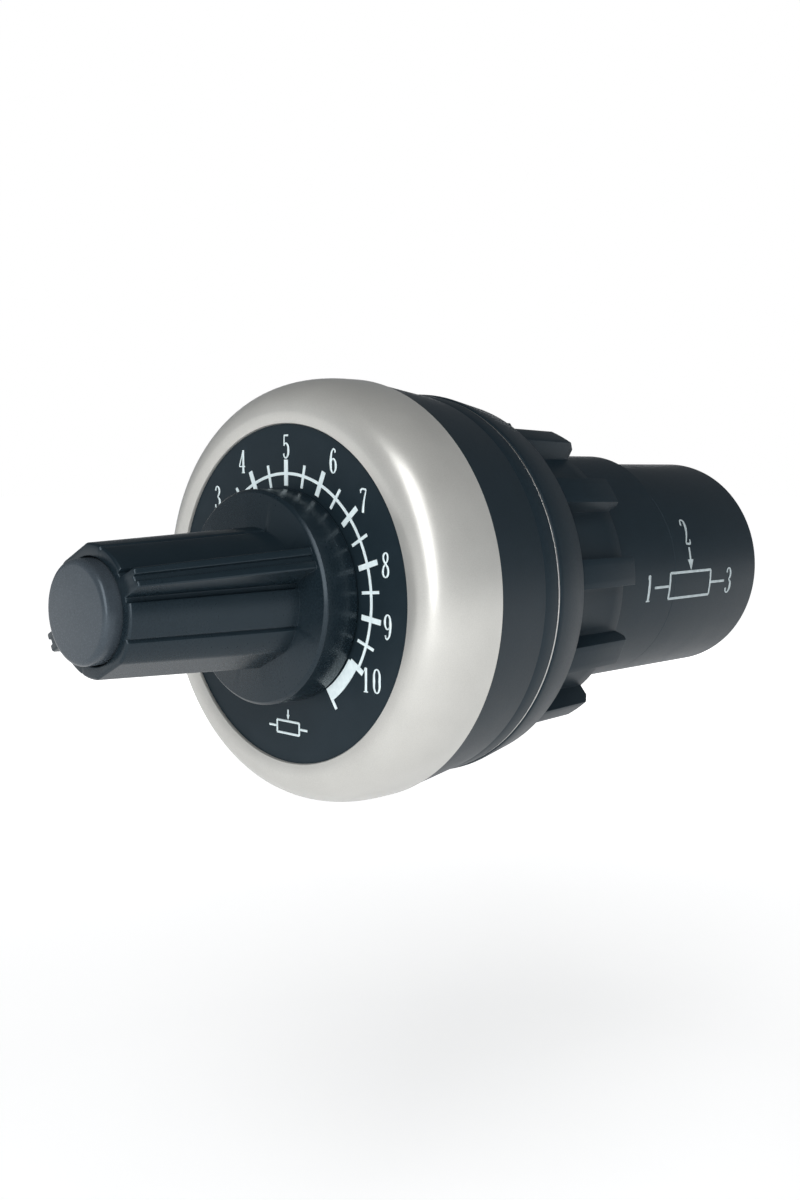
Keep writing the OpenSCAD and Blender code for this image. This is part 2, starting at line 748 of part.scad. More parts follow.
module resistive_track() {
    color("#1a1a1a") turned_sector([[track_r - track_w / 2, y_track], [track_r + track_w / 2, y_track],
        [track_r + track_w / 2, y_base], [track_r - track_w / 2, y_base]], -travel_end, travel_end);
}

module collector_ring() {
    color("goldenrod") tube(ring_r + ring_w / 2, ring_r - ring_w / 2, y_track, y_base);
}

module barrel_shell() {
    color("#1b1d20") turned([[plug_bore_r, y_sleeve_end - plug_len], [plug_r, y_sleeve_end - plug_len],
        [plug_r, y_sleeve_end], [barrel_r, y_sleeve_end], [barrel_r, y_barrel_end - rim_round],
        [barrel_r - rim_round * 0.3, y_barrel_end - rim_round * 0.3],
        [barrel_r - rim_round, y_barrel_end], [barrel_bore_r, y_barrel_end],
        [barrel_bore_r, y_block], [plug_bore_r, y_block]]);
}

module terminal_block() {
    color("#2a2c30") difference() {
        union() {
            rod(block_r, y_block, y_floor);
            for (a = bay_angles) clock(a + 180)
                radial_block(bay_wall, 0, block_r - 0.1, y_floor - eps, y_walls);
        }
        for (a = bay_angles) clock(a) {
            translate([0, 0, terminal_r]) rod(screw_well_r, y_screw_end - 0.4, y_floor + eps);
            translate([0, 0, pin_at]) rod(pin_r + 0.02, y_block - eps, y_floor + eps);
        }
    }
}

// A terminal with its plate in the bay and its pin down to the element
module terminal(angle) {
    color("goldenrod") clock(angle) difference() {
        union() {
            radial_block(terminal_w, terminal_r - terminal_in, terminal_r + terminal_out,
                y_floor, y_terminal);
            radial_block(tongue_w, pin_at, terminal_r - terminal_in + eps, y_floor, y_terminal);
            translate([0, 0, pin_at]) rod(pin_r, y_base + 0.3, y_terminal);
        }
        translate([0, 0, terminal_r]) rod(screw_d / 2 + run_gap, y_floor - eps, y_terminal + eps);
    }
}

module clamp_washer(angle) {
    color("silver") clock(angle) difference() {
        radial_block(terminal_w, terminal_r - terminal_in, terminal_r + terminal_out, y_terminal, y_clamp);
        translate([0, 0, terminal_r]) rod(screw_d / 2 + run_gap, y_terminal - eps, y_clamp + eps);
    }
}

module terminal_screw(angle) {
    head_r = screw_head_d / 2;
    color("gainsboro") clock(angle) translate([0, 0, terminal_r]) difference() {
        union() {
            rod(screw_d / 2, y_screw_end, y_clamp + eps);
            turned([[0, y_clamp], [head_r, y_clamp], [head_r, y_clamp + screw_head_h * 0.45],
                [head_r * 0.9, y_clamp + screw_head_h * 0.75], [head_r * 0.6, y_clamp + screw_head_h],
                [0, y_clamp + screw_head_h]]);
        }
        for (a = [0, 90]) clock(a)
            radial_block(0.7, -1.6, 1.6, y_clamp + screw_head_h * 0.4, y_clamp + screw_head_h + eps);
    }
}

bezel_ring();
dial_plate();
scale_marks();
head_housing();
panel_gasket();
front_bearing();
knob();
knob_cap();
pointer_line();
knob_insert();
knob_screw();
shaft();
retaining_clip();
thrust_washer();
mounting_nut();
bushing_plate();
bushing_nut();
lock_washer();
pot_case();
wiper_carrier();
wiper_spring();
element_base();
resistive_track();
collector_ring();
barrel_shell();
terminal_block();
terminal(bay_angles[0]);  // terminal_1
terminal(bay_angles[1]);  // terminal_2
terminal(bay_angles[2]);  // terminal_3
clamp_washer(bay_angles[0]);  // clamp_washer_1
clamp_washer(bay_angles[1]);  // clamp_washer_2
clamp_washer(bay_angles[2]);  // clamp_washer_3
terminal_screw(bay_angles[0]);  // terminal_screw_1
terminal_screw(bay_angles[1]);  // terminal_screw_2
terminal_screw(bay_angles[2]);  // terminal_screw_3
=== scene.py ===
import math

import bpy
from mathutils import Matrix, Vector


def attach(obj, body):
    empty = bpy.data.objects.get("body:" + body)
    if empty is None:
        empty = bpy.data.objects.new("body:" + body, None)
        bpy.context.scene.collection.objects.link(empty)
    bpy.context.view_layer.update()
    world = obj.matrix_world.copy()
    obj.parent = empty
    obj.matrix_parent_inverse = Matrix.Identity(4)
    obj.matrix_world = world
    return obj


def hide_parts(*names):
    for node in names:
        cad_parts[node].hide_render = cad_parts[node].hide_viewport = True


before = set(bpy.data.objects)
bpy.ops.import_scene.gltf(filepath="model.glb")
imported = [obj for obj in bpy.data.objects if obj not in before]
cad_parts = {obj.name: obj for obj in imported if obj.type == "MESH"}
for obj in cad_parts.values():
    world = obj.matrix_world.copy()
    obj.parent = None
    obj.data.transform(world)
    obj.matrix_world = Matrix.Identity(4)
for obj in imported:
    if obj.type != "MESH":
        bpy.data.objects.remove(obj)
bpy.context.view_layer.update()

MM = 0.001

# Camera and room: the picture looks at the part from the front and the right, a little above its axis,
# from about a hand's breadth away. The floor lies well below the part, which a panel would hold.
view = bpy.data.cameras.new("view")
view.sensor_fit = "VERTICAL"
view.sensor_height = 36.0
view.lens = 40.62
view.clip_start = 0.002
view.clip_end = 20.0
camera = bpy.data.objects.new("view", view)
bpy.context.scene.collection.objects.link(camera)
camera.location = Vector((69.86, -71.83, 8.48)) * MM
aim = Vector((5.55, -6.5, -0.35)) * MM
camera.rotation_euler = (aim - camera.location).to_track_quat("-Z", "Y").to_euler()
bpy.context.scene.camera = camera
bpy.context.scene.view_settings.view_transform = "Standard"


def softbox(name, place, wide, high, power):
    light = bpy.data.lights.new(name, "AREA")
    light.shape = "RECTANGLE"
    light.size = wide
    light.size_y = high
    light.energy = power
    box = bpy.data.objects.new(name, light)
    bpy.context.scene.collection.objects.link(box)
    box.location = place
    box.rotation_euler = (Vector((0, 0, 0)) - box.location).to_track_quat("-Z", "Y").to_euler()


softbox("key", Vector((0.204, -0.243, 0.169)), 0.18, 0.42, 1.25)
softbox("left", Vector((-0.30, -0.24, 0.06)), 0.24, 0.30, 0.03)
softbox("back", Vector((-0.32, 0.32, 0.0)), 0.25, 0.20, 0.30)


class Tone:
    """A value in the nodes of a material or of the room; sums and products of it add Math nodes."""

    def __init__(self, tree, socket=None):
        self.tree = tree
        self.socket = socket

    def node(self, kind, inputs, output=0, **settings):
        """A new node of a type, with the values or links of its sockets and its settings."""
        made = self.tree.nodes.new("ShaderNode" + kind)
        for name, value in settings.items():
            setattr(made, name, value)
        for key, value in inputs.items():
            if isinstance(value, Tone):
                self.tree.links.new(value.socket, made.inputs[key])
            else:
                made.inputs[key].default_value = value
        return Tone(self.tree, made.outputs[output])

    def __add__(self, other):
        return self.node("Math", {0: self, 1: other}, operation="ADD")

    def __mul__(self, other):
        return self.node("Math", {0: self, 1: other}, operation="MULTIPLY")

    __radd__ = __add__
    __rmul__ = __mul__


ROOM_LOW = (0.31, 0.33, 0.35, 1)
ROOM_HIGH = (0.085, 0.088, 0.09, 1)
PAPER_WHITE = (1, 1, 1, 1)

world = bpy.data.worlds.new("room")
world.use_nodes = True
bpy.context.scene.world = world
room = Tone(world.node_tree)
room.tree.nodes.clear()
direction = room.node("TexCoord", {}, "Generated")
rise = room.node("SeparateXYZ", {0: direction}, "Z")
height = room.node("MapRange", {"Value": rise, "From Min": -0.05, "From Max": 0.75})
walls = room.node("Mix", {0: height, 6: ROOM_LOW, 7: ROOM_HIGH}, 2, data_type="RGBA")
felt = room.node("Background", {"Color": walls})
seen = room.node("Background", {"Color": PAPER_WHITE})
to_camera = room.node("LightPath", {}, "Is Camera Ray")
either = room.node("MixShader", {0: to_camera, 1: felt, 2: seen})
out = room.tree.nodes.new("ShaderNodeOutputWorld")
room.tree.links.new(either.socket, out.inputs["Surface"])


# Bezel: a ring drawn from sheet, sprayed satin silver and pressed over the head.
# Its shoulder is rounded and its flat lip holds the dial down.
def finish(name, metallic=0.0, gloss=0.5, tint=(1.0, 1.0, 1.0)):
    """A new material: its shader, and the Object coordinates that its patterns read."""
    made = bpy.data.materials.new(name)
    made.use_nodes = True
    shader = made.node_tree.nodes["Principled BSDF"]
    shader.inputs["Metallic"].default_value = metallic
    shader.inputs["Specular IOR Level"].default_value = gloss
    shader.inputs["Specular Tint"].default_value = (*tint, 1)
    start = Tone(made.node_tree)
    return made, shader, start.node("TexCoord", {}, "Object")


def speckle(at, scale, detail=2.0):
    return at.node("TexNoise", {"Vector": at, "Scale": scale, "Detail": detail})


def between(at, factor, dark, light):
    return at.node("Mix", {0: factor, 6: (*dark, 1), 7: (*light, 1)}, 2, data_type="RGBA")


def feed(shader, colour, rough, height, depth):
    """Colour, roughness and a height of a given depth in metres go to the shader."""
    tree = shader.id_data
    tree.links.new(colour.socket, shader.inputs["Base Color"])
    tree.links.new(rough.socket, shader.inputs["Roughness"])
    bump = height.node("Bump", {"Height": height, "Distance": depth, "Strength": 1.0})
    tree.links.new(bump.socket, shader.inputs["Normal"])


def silver_paint():
    made, shader, at = finish("satin_silver", metallic=0.45)
    flake = speckle(at, 16000, 1.0)
    cloud = speckle(at, 350)
    colour = between(at, flake * 0.6 + cloud * 0.4, (0.435, 0.432, 0.41), (0.615, 0.61, 0.58))
    feed(shader, colour, 0.26 + cloud * 0.07 + flake * 0.06, flake, 0.0000018)
    return made


def alone():
    bpy.ops.object.select_all(action="DESELECT")


def chosen(piece):
    """Makes a piece the only selected and the active one."""
    alone()
    piece.select_set(True)
    bpy.context.view_layer.objects.active = piece


def edit_all():
    bpy.ops.object.mode_set(mode="EDIT")
    bpy.ops.mesh.select_all(action="SELECT")


MERGE = 0.0005


def closed_up():
    """Merges the doubled points of the mesh in edit mode, turns its faces outwards and leaves edit mode."""
    bpy.ops.mesh.select_all(action="SELECT")
    bpy.ops.mesh.remove_doubles(threshold=MERGE * MM)
    bpy.ops.mesh.normals_make_consistent(inside=False)
    bpy.ops.object.mode_set(mode="OBJECT")


def spun(name, profile, steps, first=0.0):
    """Turns a profile of [radius, place] points in mm once round the spindle's axis."""
    alone()
    turned = math.radians(first)

    def spot(point):
        return Vector((point[0] * math.sin(turned), point[1], point[0] * math.cos(turned))) * MM

    bpy.ops.mesh.primitive_plane_add(size=0.01 * MM, location=spot(profile[0]))
    piece = bpy.context.active_object
    piece.name = name
    bpy.ops.object.transform_apply(location=True)
    bpy.context.tool_settings.mesh_select_mode = (True, False, False)
    edit_all()
    bpy.ops.mesh.merge(type="CENTER")
    for before, after in zip(profile, profile[1:]):
        bpy.ops.mesh.extrude_vertices_move(TRANSFORM_OT_translate={"value": spot(after) - spot(before)})
    bpy.ops.mesh.select_all(action="SELECT")
    bpy.ops.mesh.spin(steps=steps, angle=2 * math.pi, center=(0, 0, 0), axis=(0, 1, 0))
    closed_up()
    return piece


def eased(piece, width, steps=3, angle=28):
    """Rounds the sharp edges of a piece and shades its curves smooth."""
    chosen(piece)
    if width:
        round_off = piece.modifiers.new("ease", "BEVEL")
        round_off.width = width * MM
        round_off.segments = steps
        round_off.limit_method = "ANGLE"
        round_off.angle_limit = math.radians(angle)
        round_off.use_clamp_overlap = True
        bpy.ops.object.modifier_apply(modifier="ease")
    bpy.ops.object.shade_smooth_by_angle(angle=math.radians(angle))
    return piece


def placed(piece, body, slot, material, *nodes):
    """Gives a finished piece its material and its body, and hides the solids that it stands for. The slot is
    not used.
    """
    piece.data.materials.clear()
    piece.data.materials.append(material)
    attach(piece, body)
    if nodes:
        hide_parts(*nodes)


def shoulder(middle_r, middle_y, across, along, fullness, count):
    """Points from the skirt round to the front, on a curve a little fuller than an ellipse."""
    angles = [math.radians(90 * i / count) for i in range(count + 1)]
    power = 2 / fullness
    return [(middle_r + across * abs(math.cos(a)) ** power, middle_y - along * abs(math.sin(a)) ** power)
            for a in angles]


Y_DIAL = -11.8
DIAL_R = 12.6
SHAFT_HOLE_R = 3.6
HEAD_FRONT = -10.8
BEZEL_REAR = -6.5
BEZEL_R = 14.75
BEZEL_BORE_R = BEZEL_R - 0.5
LIP_R = 11.55
LIP_BACK = -11.78
SHOULDER_R = 12.3

bezel_line = (
    [(BEZEL_BORE_R, BEZEL_REAR), (BEZEL_R - 0.06, BEZEL_REAR), (BEZEL_R, -6.56), (BEZEL_R, -7.0)]
    + shoulder(SHOULDER_R, -7.5, BEZEL_R - SHOULDER_R, 4.6, 2.25, 32)
    + [(LIP_R + 0.34, -12.04), (LIP_R + 0.06, -11.99), (LIP_R, -11.9), (LIP_R, LIP_BACK)]
    + [(DIAL_R, LIP_BACK), (DIAL_R, HEAD_FRONT), (BEZEL_R - 1.05, HEAD_FRONT)]
    + [(BEZEL_BORE_R, -9.9), (BEZEL_BORE_R, BEZEL_REAR)]
)
bezel = eased(spun("bezel", bezel_line, 240), 0, angle=35)
placed(bezel, "housing", "bezel_silver", silver_paint(), "bezel_ring")


# Dial: a black anodised plate under the bezel's lip, with the scale printed on it in white ink.
# The numbers run from 0 to 10 over 244 degrees, with a half mark between each two.
BLUE_SHEEN = (0.76, 0.89, 1.0)


def dial_black():
    made, shader, at = finish("dial_black", gloss=0.25, tint=BLUE_SHEEN)
    grain = speckle(at, 9000, 3.0)
    cloud = speckle(at, 500)
    colour = between(at, cloud, (0.006, 0.013, 0.018), (0.011, 0.020, 0.027))
    feed(shader, colour, 0.46 + grain * 0.14, grain, 0.0000035)
    return made


def white_ink():
    made, shader, at = finish("white_ink")
    grain = speckle(at, 12000, 3.0)
    wear = speckle(at, 2600)
    colour = between(at, wear, (0.56, 0.67, 0.70), (0.82, 0.92, 0.94))
    feed(shader, colour, 0.5 + grain * 0.15, grain, 0.000003)
    return made


dial_line = [
    (SHAFT_HOLE_R, Y_DIAL), (DIAL_R, Y_DIAL), (DIAL_R, HEAD_FRONT), (SHAFT_HOLE_R, HEAD_FRONT),
    (SHAFT_HOLE_R, Y_DIAL)]
dial = eased(spun("dial", dial_line, 160), 0)
placed(dial, "housing", "dial_black", dial_black(), "dial_plate")

INK = 0.04
FULL_LINE = 0.36
HALF_LINE = 0.2
STOP_LINE = 0.22
ARC_R = 8.22
MARK_IN = 7.4
MARK_OUT = 9.15
SCALE_STEP = 24.4
SCALE_END = 5 * SCALE_STEP
TRAVEL_END = 146


def join(name, pieces):
    alone()
    for piece in pieces:
        piece.select_set(True)
    bpy.context.view_layer.objects.active = pieces[0]
    bpy.ops.object.join()
    joined = bpy.context.active_object
    joined.name = name
    return joined


def clock(angle, radius, y=0.0):
    """A point at a clock angle from the top, in mm turned to metres."""
    a = math.radians(angle)
    return Vector((radius * math.sin(a), y, radius * math.cos(a))) * MM


def mark(angle, wide, inner, outer):
    """A printed bar that points at the axis."""
    alone()
    middle = (inner + outer) / 2
    thick = INK + 0.006
    bpy.ops.mesh.primitive_cube_add(size=1, location=clock(angle, middle, Y_DIAL - thick / 2))
    bar = bpy.context.active_object
    bar.scale = Vector((wide, thick, outer - inner)) * MM
    bar.rotation_euler = (0, math.radians(angle), 0)
    bpy.ops.object.transform_apply(location=True, rotation=True, scale=True)
    return bar


def band(start, stop, inner, outer, thick):
    """A printed strip round the axis between two clock angles."""
    alone()
    bpy.ops.mesh.primitive_plane_add(size=1, location=(0, 0, 0))
    ribbon = bpy.context.active_object
    bpy.context.tool_settings.mesh_select_mode = (True, False, False)
    edit_all()
    bpy.ops.mesh.merge(type="CENTER")
    bpy.ops.transform.translate(value=clock(start, inner, Y_DIAL))
    corners = [(inner, Y_DIAL - thick), (outer, Y_DIAL - thick), (outer, Y_DIAL), (inner, Y_DIAL)]
    at = clock(start, inner, Y_DIAL)
    for radius, y in corners:
        bpy.ops.mesh.extrude_vertices_move(TRANSFORM_OT_translate={"value": clock(start, radius, y) - at})
        at = clock(start, radius, y)
    bpy.ops.mesh.select_all(action="SELECT")
    bpy.ops.mesh.remove_doubles(threshold=MERGE * MM)
    bpy.ops.mesh.edge_face_add()
    bpy.ops.mesh.extrude_region_move()
    steps = max(4, int(abs(stop - start) / 2))
    bpy.ops.mesh.spin(steps=steps, angle=math.radians(start - stop), center=(0, 0, 0), axis=(0, 1, 0))
    closed_up()
    return ribbon


print_bits = [band(-SCALE_END, SCALE_END, ARC_R - 0.1, ARC_R + 0.1, INK)]
for i in range(-5, 6):
    outer = MARK_OUT if abs(i) < 5 else MARK_OUT - 0.4
    print_bits.append(mark(SCALE_STEP * i, FULL_LINE, MARK_IN, outer))
for i in range(-5, 5):
    print_bits.append(mark(SCALE_STEP * (i + 0.5), HALF_LINE, MARK_IN, MARK_OUT - 0.2))
for side in (-1, 1):
    print_bits.append(mark(side * TRAVEL_END, STOP_LINE, MARK_IN - 0.2, ARC_R + 0.55))
    print_bits.append(band(side * SCALE_END, side * TRAVEL_END, MARK_IN - 0.2, ARC_R - 0.1, INK - 0.006))

# Numerals: thin upright figures with heavy downstrokes, silk-screened in the same ink.
# Each stroke is a list of (x, height, half width), x in parts of the figure's width, the rest of its height.
FIGURES = {
    "0": [
        [(0.5, 0.97, 0.03), (0.33, 0.9, 0.05), (0.25, 0.5, 0.075), (0.33, 0.1, 0.05), (0.5, 0.03, 0.03),
         (0.67, 0.1, 0.05), (0.75, 0.5, 0.075), (0.67, 0.9, 0.05), (0.5, 0.97, 0.03)]],
    "1": [
        [(0.34, 0.84, 0.02), (0.48, 0.95, 0.05), (0.5, 0.9, 0.07)],
        [(0.5, 0.96, 0.07), (0.5, 0.04, 0.07)],
        [(0.32, 0.02, 0.028), (0.68, 0.02, 0.028)]],
    "2": [
        [(0.27, 0.74, 0.06), (0.34, 0.92, 0.04), (0.5, 0.97, 0.035), (0.68, 0.88, 0.06),
         (0.7, 0.7, 0.075), (0.58, 0.42, 0.05), (0.27, 0.05, 0.03)],
        [(0.27, 0.04, 0.045), (0.72, 0.04, 0.05), (0.76, 0.18, 0.03)]],
    "3": [
        [(0.28, 0.8, 0.05), (0.36, 0.94, 0.035), (0.52, 0.97, 0.035), (0.68, 0.86, 0.06),
         (0.67, 0.66, 0.06), (0.5, 0.53, 0.03)],
        [(0.5, 0.53, 0.03), (0.7, 0.42, 0.06), (0.73, 0.24, 0.075), (0.62, 0.06, 0.05),
         (0.45, 0.02, 0.035), (0.3, 0.08, 0.04), (0.26, 0.2, 0.05)]],
    "4": [
        [(0.62, 0.97, 0.06), (0.62, 0.03, 0.075)],
        [(0.6, 0.95, 0.03), (0.2, 0.3, 0.03)],
        [(0.2, 0.28, 0.03), (0.8, 0.28, 0.03)],
        [(0.48, 0.02, 0.028), (0.76, 0.02, 0.028)]],
    "5": [
        [(0.32, 0.94, 0.04), (0.72, 0.94, 0.05)],
        [(0.33, 0.95, 0.03), (0.3, 0.52, 0.03)],
        [(0.3, 0.52, 0.03), (0.46, 0.62, 0.035), (0.66, 0.55, 0.055), (0.74, 0.33, 0.075),
         (0.66, 0.1, 0.055), (0.48, 0.02, 0.035), (0.32, 0.07, 0.04), (0.27, 0.2, 0.05)]],
    "6": [
        [(0.7, 0.82, 0.045), (0.6, 0.96, 0.035), (0.44, 0.92, 0.04), (0.29, 0.66, 0.065),
         (0.26, 0.34, 0.075), (0.35, 0.08, 0.05), (0.5, 0.02, 0.033), (0.67, 0.1, 0.05),
         (0.74, 0.3, 0.07), (0.67, 0.5, 0.05), (0.5, 0.58, 0.033), (0.34, 0.5, 0.035),
         (0.28, 0.36, 0.04)]],
    "7": [
        [(0.25, 0.8, 0.03), (0.28, 0.93, 0.045), (0.76, 0.93, 0.045)],
        [(0.75, 0.92, 0.03), (0.58, 0.56, 0.05), (0.48, 0.24, 0.07), (0.46, 0.04, 0.075)]],
    "8": [
        [(0.5, 0.97, 0.033), (0.33, 0.88, 0.055), (0.31, 0.72, 0.055), (0.5, 0.54, 0.05),
         (0.69, 0.4, 0.06), (0.74, 0.22, 0.06), (0.66, 0.07, 0.05), (0.5, 0.02, 0.033),
         (0.34, 0.07, 0.05), (0.26, 0.22, 0.06), (0.32, 0.4, 0.045), (0.5, 0.54, 0.035),
         (0.66, 0.68, 0.05), (0.69, 0.82, 0.05), (0.62, 0.93, 0.045), (0.5, 0.97, 0.033)]],
    "9": [
        [(0.3, 0.18, 0.045), (0.4, 0.04, 0.035), (0.56, 0.08, 0.04), (0.71, 0.34, 0.065),
         (0.74, 0.66, 0.075), (0.65, 0.92, 0.05), (0.5, 0.98, 0.033), (0.33, 0.9, 0.05),
         (0.26, 0.7, 0.07), (0.33, 0.5, 0.05), (0.5, 0.42, 0.033), (0.66, 0.5, 0.035),
         (0.72, 0.64, 0.04)]],
}


STROKE_INK = INK + 0.012


def stroke(points, left=0.0, foot=0.0, high=1.0, wide=1.0):
    """One inked line through (x, height, half width) points, flat in the XZ plane."""
    line = bpy.data.curves.new("stroke", "CURVE")
    line.dimensions = "3D"
    line.bevel_depth = high * MM
    line.bevel_resolution = 1
    line.resolution_u = 4
    line.use_fill_caps = True
    run = line.splines.new("BEZIER")
    run.bezier_points.add(len(points) - 1)
    for knot, (x, z, half) in zip(run.bezier_points, points):
        knot.co = Vector((left + x * wide, 0, foot + z * high)) * MM
        knot.radius = half
        knot.handle_left_type = knot.handle_right_type = "AUTO" if len(points) > 2 else "VECTOR"
    piece = bpy.data.objects.new("stroke", line)
    bpy.context.scene.collection.objects.link(piece)
    chosen(piece)
    bpy.ops.object.convert(target="MESH")
    piece = bpy.context.active_object
    edit_all()
    tallest = max(abs(v.co.y) for v in piece.data.vertices)
    bpy.ops.transform.resize(value=(1, STROKE_INK * MM / 2 / tallest, 1), center_override=(0, 0, 0))
    bpy.ops.mesh.normals_make_consistent(inside=False)
    bpy.ops.object.mode_set(mode="OBJECT")
    return piece


def figure(text, x, z, high, wide):
    """A number whose middle is at x, z."""
    strokes = []
    left = x - wide * len(text) / 2
    for i, sign in enumerate(text):
        for points in FIGURES[sign]:
            strokes.append(stroke(points, left + wide * i, z - high / 2, high, wide))
    return strokes


def resistor_sign(x, z, long, high, half):
    """The usual sign for a variable resistor: a box with two leads and an arrow on it."""
    a, b = x - long / 2, x + long / 2
    low, top = z - high / 2, z + high / 2
    lead = long * 0.36
    box = [[(a, low), (b, low)], [(b, low), (b, top)], [(b, top), (a, top)], [(a, top), (a, low)],
           [(a - lead, z), (a, z)], [(b, z), (b + lead, z)], [(x, top + high * 0.95), (x, top + high * 0.3)]]
    strokes = [stroke([(u, v, half) for u, v in line]) for line in box]
    tip = top + half
    arrow = [(x, tip + high * 0.42, high * 0.2), (x, tip + high * 0.2, high * 0.1), (x, tip, 0.01)]
    strokes.append(stroke(arrow))
    return strokes


FIGURE_HIGH = 1.64
FIGURE_WIDE = 1.0
PLACES = [(8.2, -5.0), (9.68, -1.45), (9.5, 2.5), (7.5, 6.5), (4.68, 9.05), (0.0, 10.05)]
figures = []
for i, (x, z) in enumerate(PLACES):
    figures += figure(str(10 - i), x, z, FIGURE_HIGH, FIGURE_WIDE)
    if x:
        figures += figure(str(i), -x, z, FIGURE_HIGH, FIGURE_WIDE)
figures += resistor_sign(0.0, -9.15, 2.3, 0.85, 0.09)
lettering = join("lettering", figures)
edit_all()
bpy.ops.transform.translate(value=(0, (Y_DIAL - INK / 2) * MM, 0))
bpy.ops.object.mode_set(mode="OBJECT")
marks = join("scale", print_bits + [lettering])
ink = white_ink()
placed(marks, "housing", "white_print", ink, "scale_marks")


# Knob: a collar and a slim tapered grip in one black moulding. Two ribs for the fingers run along the grip,
# with grooves beside them, thin grooves and shallow flats between them, and a line groove on each crest.
def knob_black():
    made, shader, at = finish("knob_black", gloss=0.34, tint=BLUE_SHEEN)
    grain = speckle(at, 6500, 3.0)
    cloud = speckle(at, 380)
    handling = speckle(at, 120, 2.0)
    colour = between(at, cloud * 0.5 + handling * 0.5, (0.0055, 0.0115, 0.016), (0.010, 0.0175, 0.0235))
    feed(shader, colour, 0.21 + grain * 0.06 + handling * 0.09, grain, 0.0000012)
    return made


def pick(piece, kind, wanted):
    """Selects a piece's points or faces by radius, place and clock angle, and stays in edit mode."""
    bpy.ops.object.mode_set(mode="OBJECT")
    chosen(piece)
    bpy.context.tool_settings.mesh_select_mode = (kind == "points", False, kind == "faces")
    bpy.ops.object.mode_set(mode="EDIT")
    bpy.ops.mesh.select_all(action="DESELECT")
    bpy.ops.object.mode_set(mode="OBJECT")
    if kind == "points":
        spots = [(corner, corner.co) for corner in piece.data.vertices]
    else:
        spots = [(face, face.center) for face in piece.data.polygons]
    for item, spot in spots:
        x, y, z = spot / MM
        item.select = wanted(math.hypot(x, z), y, math.degrees(math.atan2(x, z)) % 360)
    bpy.ops.object.mode_set(mode="EDIT")


TIP_Y = -27.3
CHAMFER_Y = -27.17
COLLAR_Y = -14.8
COLLAR_REAR = -12.0
COLLAR_R = 7.2
CAP_SEAT = -26.6
CAP_HOLE_R = 3.32
TIP_R = 4.02
GRIP_FRONT_R = 4.15
GRIP_REAR_R = 4.7
RIB_CLOCK = 64

knob_line = [
    (2.2, -24.7), (2.2, CAP_SEAT), (CAP_HOLE_R, CAP_SEAT), (CAP_HOLE_R, -27.24), (3.38, TIP_Y),
    (TIP_R, TIP_Y), (GRIP_FRONT_R, CHAMFER_Y), (GRIP_REAR_R, COLLAR_Y), (6.99, COLLAR_Y),
    (COLLAR_R, -14.59), (COLLAR_R, -12.06), (7.14, COLLAR_REAR), (3.3, COLLAR_REAR), (3.3, -15.2),
    (2.75, -15.2), (2.75, -24.1), (1.15, -24.1), (1.15, -24.7), (2.2, -24.7)]
knob = spun("knob_body", knob_line, 180, first=1)


def ring_point(offset, body, groove, half, crest):
    """Where a corner of the grip's outline goes, as (sideways, outwards) from the ribs' axis in mm.

    The corners at 1 to 5 degrees make the crest's line groove, 7 and 9 the rib's edge, 11 and 13 the groove
    beside it, 47 the thin groove, and those past 70 the flat.
    """
    beside = half + 0.03
    rows = {1: (0.17, crest - 0.25), 3: (0.205, crest - 0.03), 5: (0.27, crest), 7: (half - 0.08, crest),
            9: (half, crest - 0.08), 11: (beside, math.sqrt((body - groove) ** 2 - beside ** 2)),
            13: (beside + 0.28, math.sqrt((body - groove) ** 2 - (beside + 0.28) ** 2))}
    if offset in rows:
        return rows[offset]
    a = math.radians(offset)
    if offset == 47:
        return ((body - 0.2) * math.sin(a), (body - 0.2) * math.cos(a))
    if offset > 70:
        return (min(body - 0.25, body * math.sin(a)), body * math.cos(a))
    return None


GRIP_RINGS = (
    (TIP_R, TIP_Y, 0.22, 0.57, 5.27),
    (GRIP_FRONT_R, CHAMFER_Y, 0.30, 0.625, 5.35),
    (GRIP_REAR_R, COLLAR_Y, 0.30, 0.75, 6.76))
for radius, y, groove, half, crest in GRIP_RINGS:
    for offset in range(1, 90, 2):
        place = ring_point(offset, radius, groove, half, crest)
        if place is None:
            continue
        a = math.radians(offset)
        sideways = place[0] / (radius * math.sin(a))
        outwards = place[1] / (radius * math.cos(a))
        pick(knob, "points", lambda r, at, turn: abs(r - radius) < 0.01 and abs(at - y) < 0.01
             and abs(min(turn % 180, 180 - turn % 180) - offset) < 0.3)
        bpy.ops.transform.resize(value=(sideways, 1, outwards), center_override=(0, 0, 0))


def turn_to(piece, angle):
    """Turns a finished mesh clockwise about the spindle's axis, as seen from the knob."""
    bpy.ops.object.mode_set(mode="OBJECT")
    chosen(piece)
    edit_all()
    bpy.ops.transform.rotate(value=-math.radians(angle), orient_axis="Y", center_override=(0, 0, 0))
    bpy.ops.object.mode_set(mode="OBJECT")


turn_to(knob, RIB_CLOCK)
placed(eased(knob, 0.05, 2, angle=30), "spindle", "knob_plastic", knob_black(), "knob")


# Knob cap: a moulded plug, pressed into the end of the grip over the screw that holds the knob; its grey is
# partly its own, partly painted reflection.
# Its rim is rounded and stands a little out of the grip.
def cap_grey():
    made, shader, at = finish("cap_grey", gloss=0.4, tint=BLUE_SHEEN)
    grain = speckle(at, 8000, 2.0)
    cloud = speckle(at, 600)
    # Grey lighter than the grip's black: partly the plug's own colour, partly a painted reflection of the
    # bright room in front.
    colour = between(at, cloud, (0.032, 0.042, 0.051), (0.043, 0.054, 0.065))
    feed(shader, colour, 0.24 + grain * 0.06, grain, 0.0000006)
    return made


POLE_R = 0.02
CAP_FRONT = -28.4
CAP_FACE_R = 2.85
CAP_ROUND = 0.4
CAP_EDGE_Y = -28.0
CAP_FOOT = -25.9

